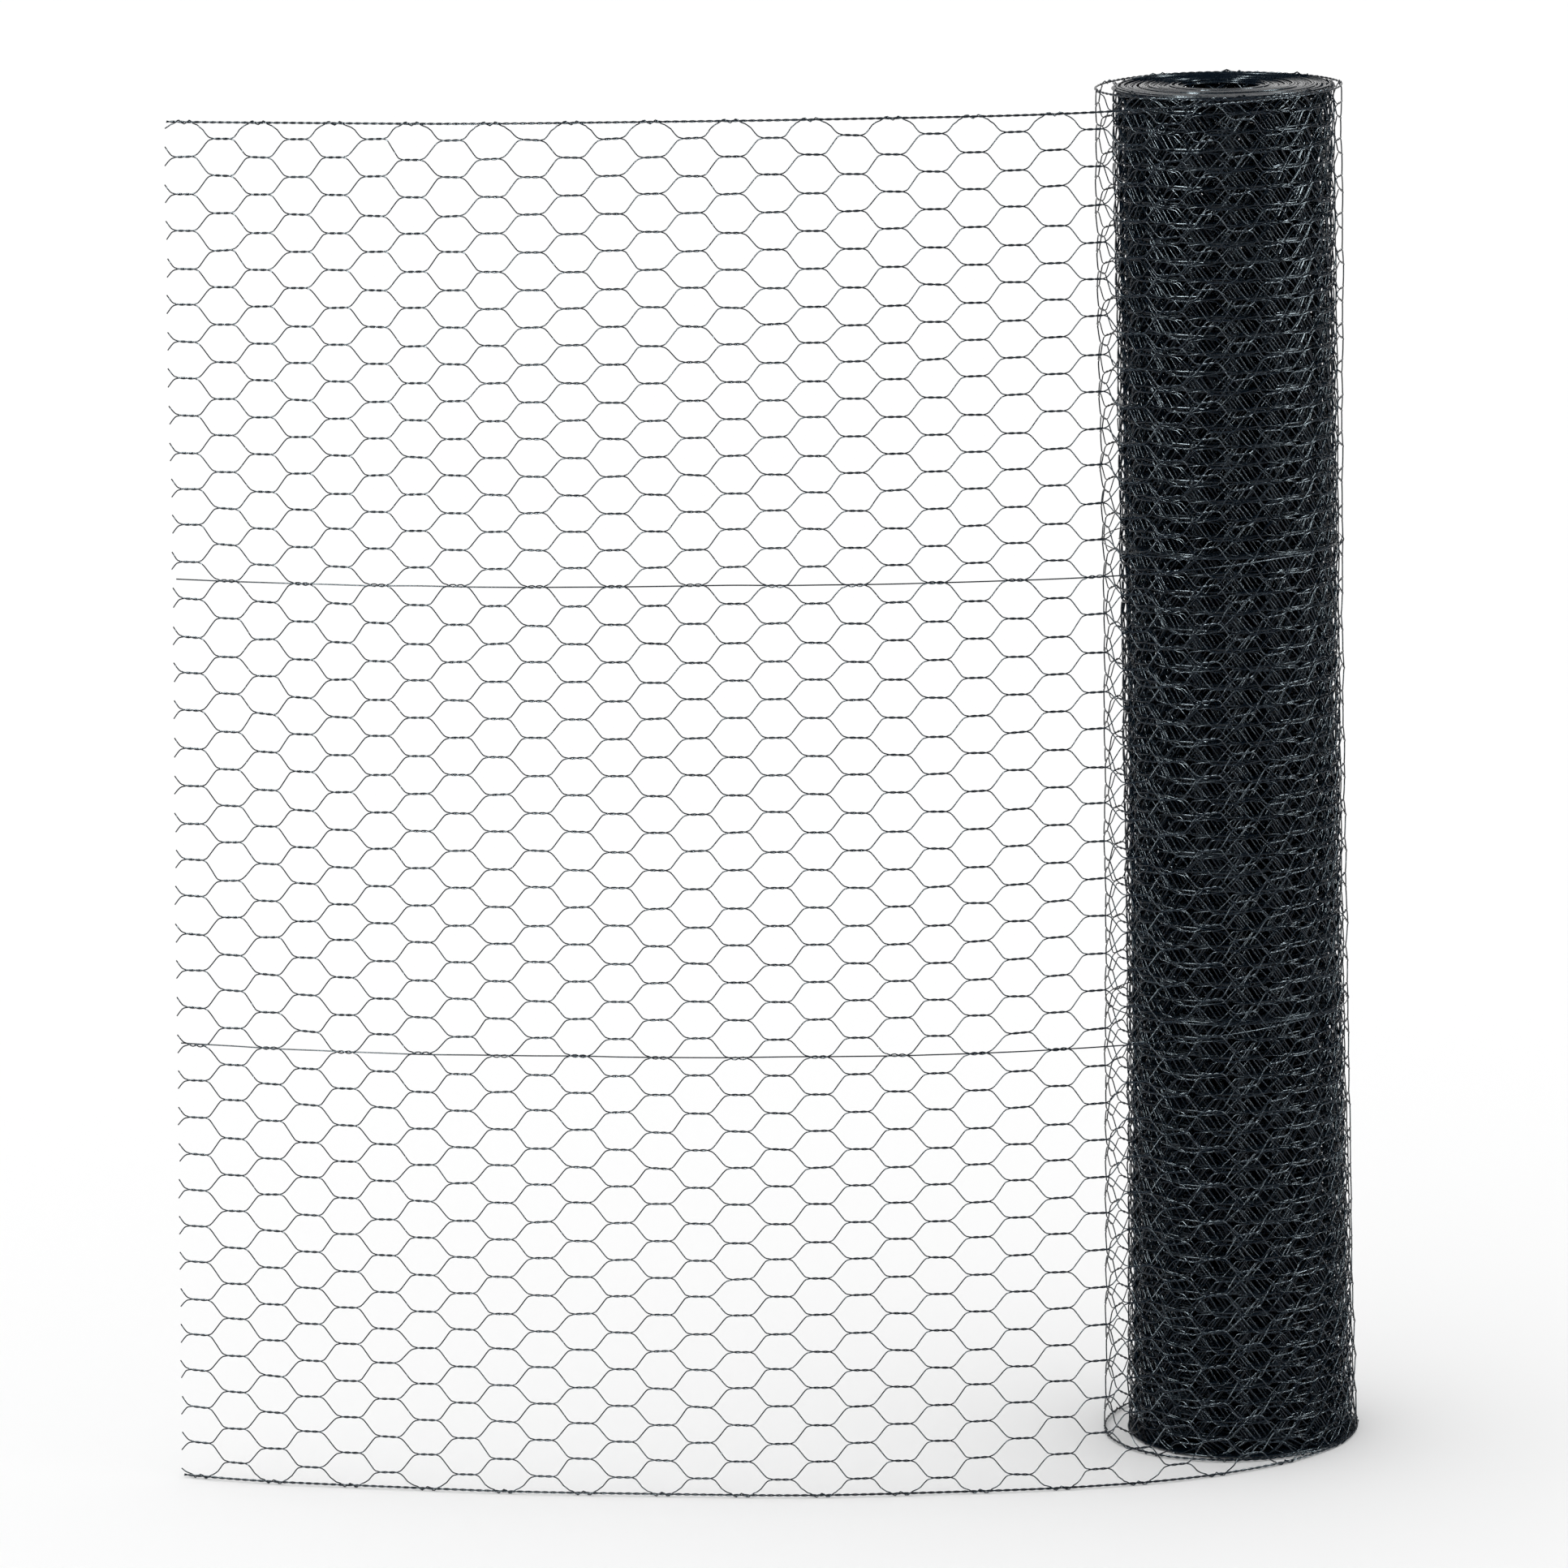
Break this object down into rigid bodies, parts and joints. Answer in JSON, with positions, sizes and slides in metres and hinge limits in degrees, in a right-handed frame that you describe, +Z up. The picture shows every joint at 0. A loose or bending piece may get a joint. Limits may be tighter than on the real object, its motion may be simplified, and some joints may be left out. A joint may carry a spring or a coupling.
{
  "type": "roll of hexagonal wire netting",
  "caption": "Roll of black coated hexagonal wire netting standing on end, its outer stretch unrolled and open beside it, for fencing and pens.",
  "frame": {"origin": "on the axis of the tight turns, at the floor the roll stands on", "axes": "+Z up along the roll's axis, -Y towards the viewer, the unrolled stretch runs to -X"},
  "size_m": [0.7768, 0.2165, 0.9144],
  "materials": {
    "coated_wire": "black vinyl coating, half gloss"
  },
  "bodies": {
    "root": {"rolled_netting": "coated_wire", "loose_netting_1": "coated_wire", "loose_netting_2": "coated_wire", "loose_netting_3": "coated_wire", "loose_netting_4": "coated_wire", "loose_netting_5": "coated_wire", "loose_netting_6": "coated_wire", "loose_netting_7": "coated_wire", "loose_netting_8": "coated_wire", "loose_netting_9": "coated_wire", "unrolled_netting_1": "coated_wire", "unrolled_netting_2": "coated_wire", "unrolled_netting_3": "coated_wire", "unrolled_netting_4": "coated_wire", "unrolled_netting_5": "coated_wire", "unrolled_netting_6": "coated_wire", "unrolled_netting_7": "coated_wire", "unrolled_netting_8": "coated_wire"}
  },
  "joints": []
}
